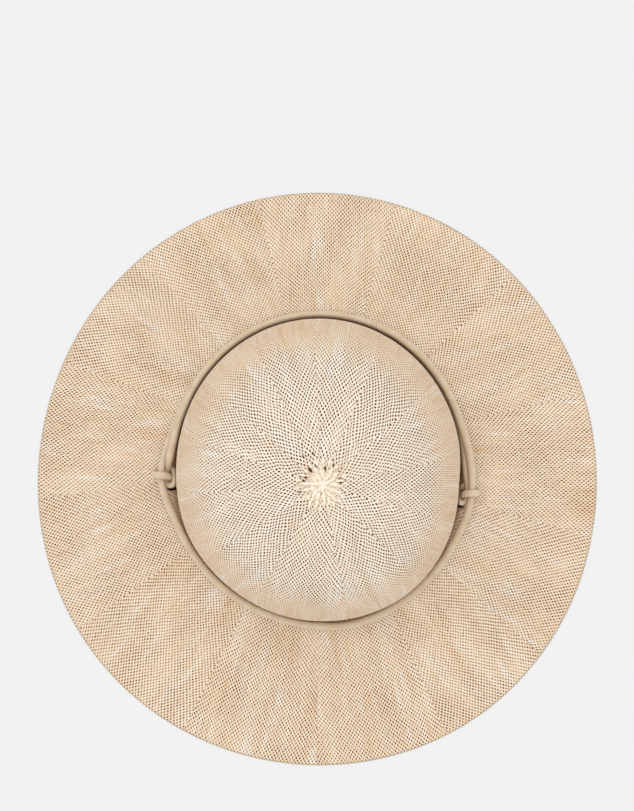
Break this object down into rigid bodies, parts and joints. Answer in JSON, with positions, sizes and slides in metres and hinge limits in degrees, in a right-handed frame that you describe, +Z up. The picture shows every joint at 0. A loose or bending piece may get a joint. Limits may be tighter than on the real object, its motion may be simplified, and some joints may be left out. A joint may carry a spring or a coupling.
{
  "type": "sun hat with a tied cord",
  "caption": "Wide-brimmed straw-yarn knit sun hat with a round crown and a tied cord round its foot that runs on as a chin cord.",
  "frame": {"origin": "on the surface that the rim rests on, below the middle of the brim", "axes": "+Z up, +Y towards the back of the hat, +X towards the right of the picture"},
  "size_m": [0.3702, 0.3792, 0.13],
  "materials": {
    "straw_knit": "matte",
    "cord": "matte"
  },
  "bodies": {
    "root": {"crown": "straw_knit", "brim": "straw_knit", "crown_cord": "cord", "chin_cord": "cord"}
  },
  "joints": []
}
